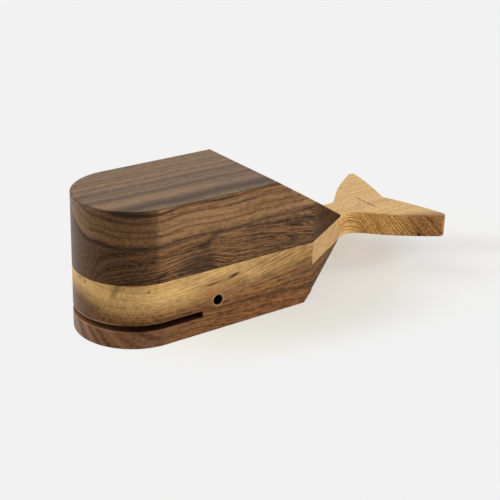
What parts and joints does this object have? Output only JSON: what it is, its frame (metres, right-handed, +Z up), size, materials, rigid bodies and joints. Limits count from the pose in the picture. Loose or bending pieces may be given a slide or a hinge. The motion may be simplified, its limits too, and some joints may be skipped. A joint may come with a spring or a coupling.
{
  "type": "whale figurine",
  "caption": "Solid wooden sperm whale ornament: round-nosed walnut body with a sawn mouth and drilled eyes, and a pale flat tail fluke let in flush under the back.",
  "frame": {"origin": "on the underside, at the centre of the nose's half circle", "axes": "+X towards the tail, +Y to the whale's right seen from behind the nose, +Z up"},
  "size_m": [0.2209, 0.0846, 0.076],
  "materials": {
    "dark_walnut": "oiled, fine sanded, soft sheen",
    "sapwood_walnut": "oiled, fine sanded, soft sheen",
    "pale_oak": "oiled, fine sanded, matt",
    "beech_dowel": "bare turned wood"
  },
  "bodies": {
    "root": {"upper_block": "dark_walnut", "lower_block": "sapwood_walnut", "tail": "pale_oak", "front_dowel": "beech_dowel", "middle_dowel": "beech_dowel", "tail_dowel_left": "beech_dowel", "tail_dowel_right": "beech_dowel"}
  },
  "joints": []
}
